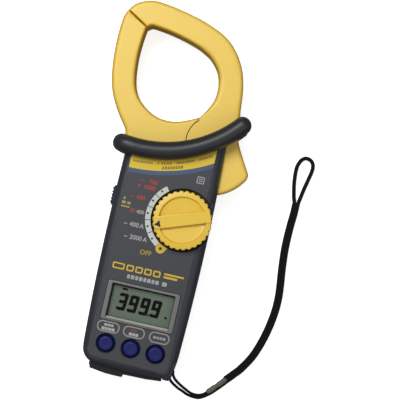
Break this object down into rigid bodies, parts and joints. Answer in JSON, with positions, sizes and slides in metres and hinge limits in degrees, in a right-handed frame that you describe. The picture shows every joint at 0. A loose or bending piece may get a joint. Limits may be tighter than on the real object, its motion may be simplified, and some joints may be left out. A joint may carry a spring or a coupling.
{
  "type": "clamp meter",
  "caption": "Hand-held clamp meter with an opening ring jaw and side lever, hand guard, rotary range dial, display, push buttons, sliding terminal cover and wrist strap.",
  "frame": {"origin": "on the flat back face of the case, on its centre line, 100 mm above the body's lower end", "axes": "+Y along the body towards the jaws, +Z out of the front panel, +X to the right when facing the panel"},
  "size_m": [0.1483, 0.2549, 0.0487],
  "materials": {
    "case_dark": "matt",
    "panel_grey": "matt",
    "jaw_yellow": "satin",
    "knob_yellow": "satin",
    "frame_grey": "matt",
    "clear_window": "clear",
    "lcd_green": "smooth",
    "white_plastic": "matt",
    "rubber_strip": "matt",
    "button_blue": "matt",
    "black_plastic": "matt",
    "board_green": "satin",
    "steel": "plated",
    "brass": "bright",
    "core_steel": "laminated",
    "cell_wrap": "gloss",
    "cord_black": "woven",
    "sleeve_grey": "matt"
  },
  "bodies": {
    "case": {"battery_1": "cell_wrap", "battery_2": "cell_wrap", "battery_contact_1": "steel", "battery_contact_2": "steel", "battery_holder": "black_plastic", "battery_link": "steel", "battery_spring_1": "steel", "battery_spring_2": "steel", "buzzer": "black_plastic", "case_screw_1": "steel", "case_screw_2": "steel", "case_screw_3": "steel", "case_screw_4": "steel", "detent_ball": "steel", "detent_spring": "steel", "fixed_core": "core_steel", "fixed_jaw_front": "jaw_yellow", "fixed_jaw_rear": "jaw_yellow", "front_case": "case_dark", "hall_sensor_hub": "black_plastic", "hall_sensor_tip": "black_plastic", "hold_switch": "white_plastic", "jaw_pin": "steel", "jaw_spring": "steel", "lcd_connector_1": "rubber_strip", "lcd_connector_2": "rubber_strip", "lcd_frame": "frame_grey", "lcd_glass": "lcd_green", "lcd_holder": "white_plastic", "lcd_window": "clear_window", "main_chip": "black_plastic", "main_pcb": "board_green", "panel_label": "panel_grey", "rear_case": "case_dark", "socket_1": "brass", "socket_2": "brass", "socket_3": "brass", "strap_bar": "steel", "switch_1": "black_plastic", "switch_2": "black_plastic", "switch_3": "black_plastic", "terminal_block": "black_plastic"},
    "moving_jaw": {"moving_jaw_front": "jaw_yellow", "moving_jaw_rear": "jaw_yellow", "moving_core": "core_steel"},
    "dial": {"dial_knob": "knob_yellow", "dial_rotor": "white_plastic", "dial_contact": "brass"},
    "button_left": {"button_1": "button_blue"},
    "button_middle": {"button_2": "button_blue"},
    "button_right": {"button_3": "button_blue"},
    "hold": {"hold_button": "black_plastic"},
    "terminal_slide": {"terminal_cover": "black_plastic"},
    "battery_door": {"battery_cover": "case_dark", "battery_screw": "steel"},
    "strap_swing": {"strap_cord": "cord_black", "strap_sleeve": "sleeve_grey", "strap": "cord_black"}
  },
  "joints": [
    {"name": "jaw_pivot", "type": "hinge", "parent": "case", "child": "moving_jaw", "pos_m": [0.022, 0.0625, 0.01975], "axis": [0, 0, -1], "range_deg": [0, 28], "stiffness_Nm_per_rad": 1.2, "springref_deg": -17.19},
    {"name": "dial_turn", "type": "hinge", "parent": "case", "child": "dial", "pos_m": [0.0144, 0.0081, 0.038], "axis": [0, 0, -1], "range_deg": [-42.9, 64.4]},
    {"name": "button_left_press", "type": "slide", "parent": "case", "child": "button_left", "axis": [0, 0, -1], "range_m": [0, 0.001], "stiffness_N_per_m": 350},
    {"name": "button_middle_press", "type": "slide", "parent": "case", "child": "button_middle", "axis": [0, 0, -1], "range_m": [0, 0.001], "stiffness_N_per_m": 350},
    {"name": "button_right_press", "type": "slide", "parent": "case", "child": "button_right", "axis": [0, 0, -1], "range_m": [0, 0.001], "stiffness_N_per_m": 350},
    {"name": "hold_press", "type": "slide", "parent": "case", "child": "hold", "axis": [1, 0, 0], "range_m": [0, 0.001], "stiffness_N_per_m": 350},
    {"name": "terminal_cover_slide", "type": "slide", "parent": "case", "child": "terminal_slide", "axis": [1, 0, 0], "range_m": [0, 0.022]},
    {"name": "battery_cover_lift", "type": "slide", "parent": "case", "child": "battery_door", "axis": [0, 0, -1], "range_m": [0, 0.012]},
    {"name": "strap_swing", "type": "hinge", "parent": "case", "child": "strap_swing", "pos_m": [0.029, -0.094, 0.019], "axis": [0, 0, -1], "range_deg": [-8, 30]}
  ]
}
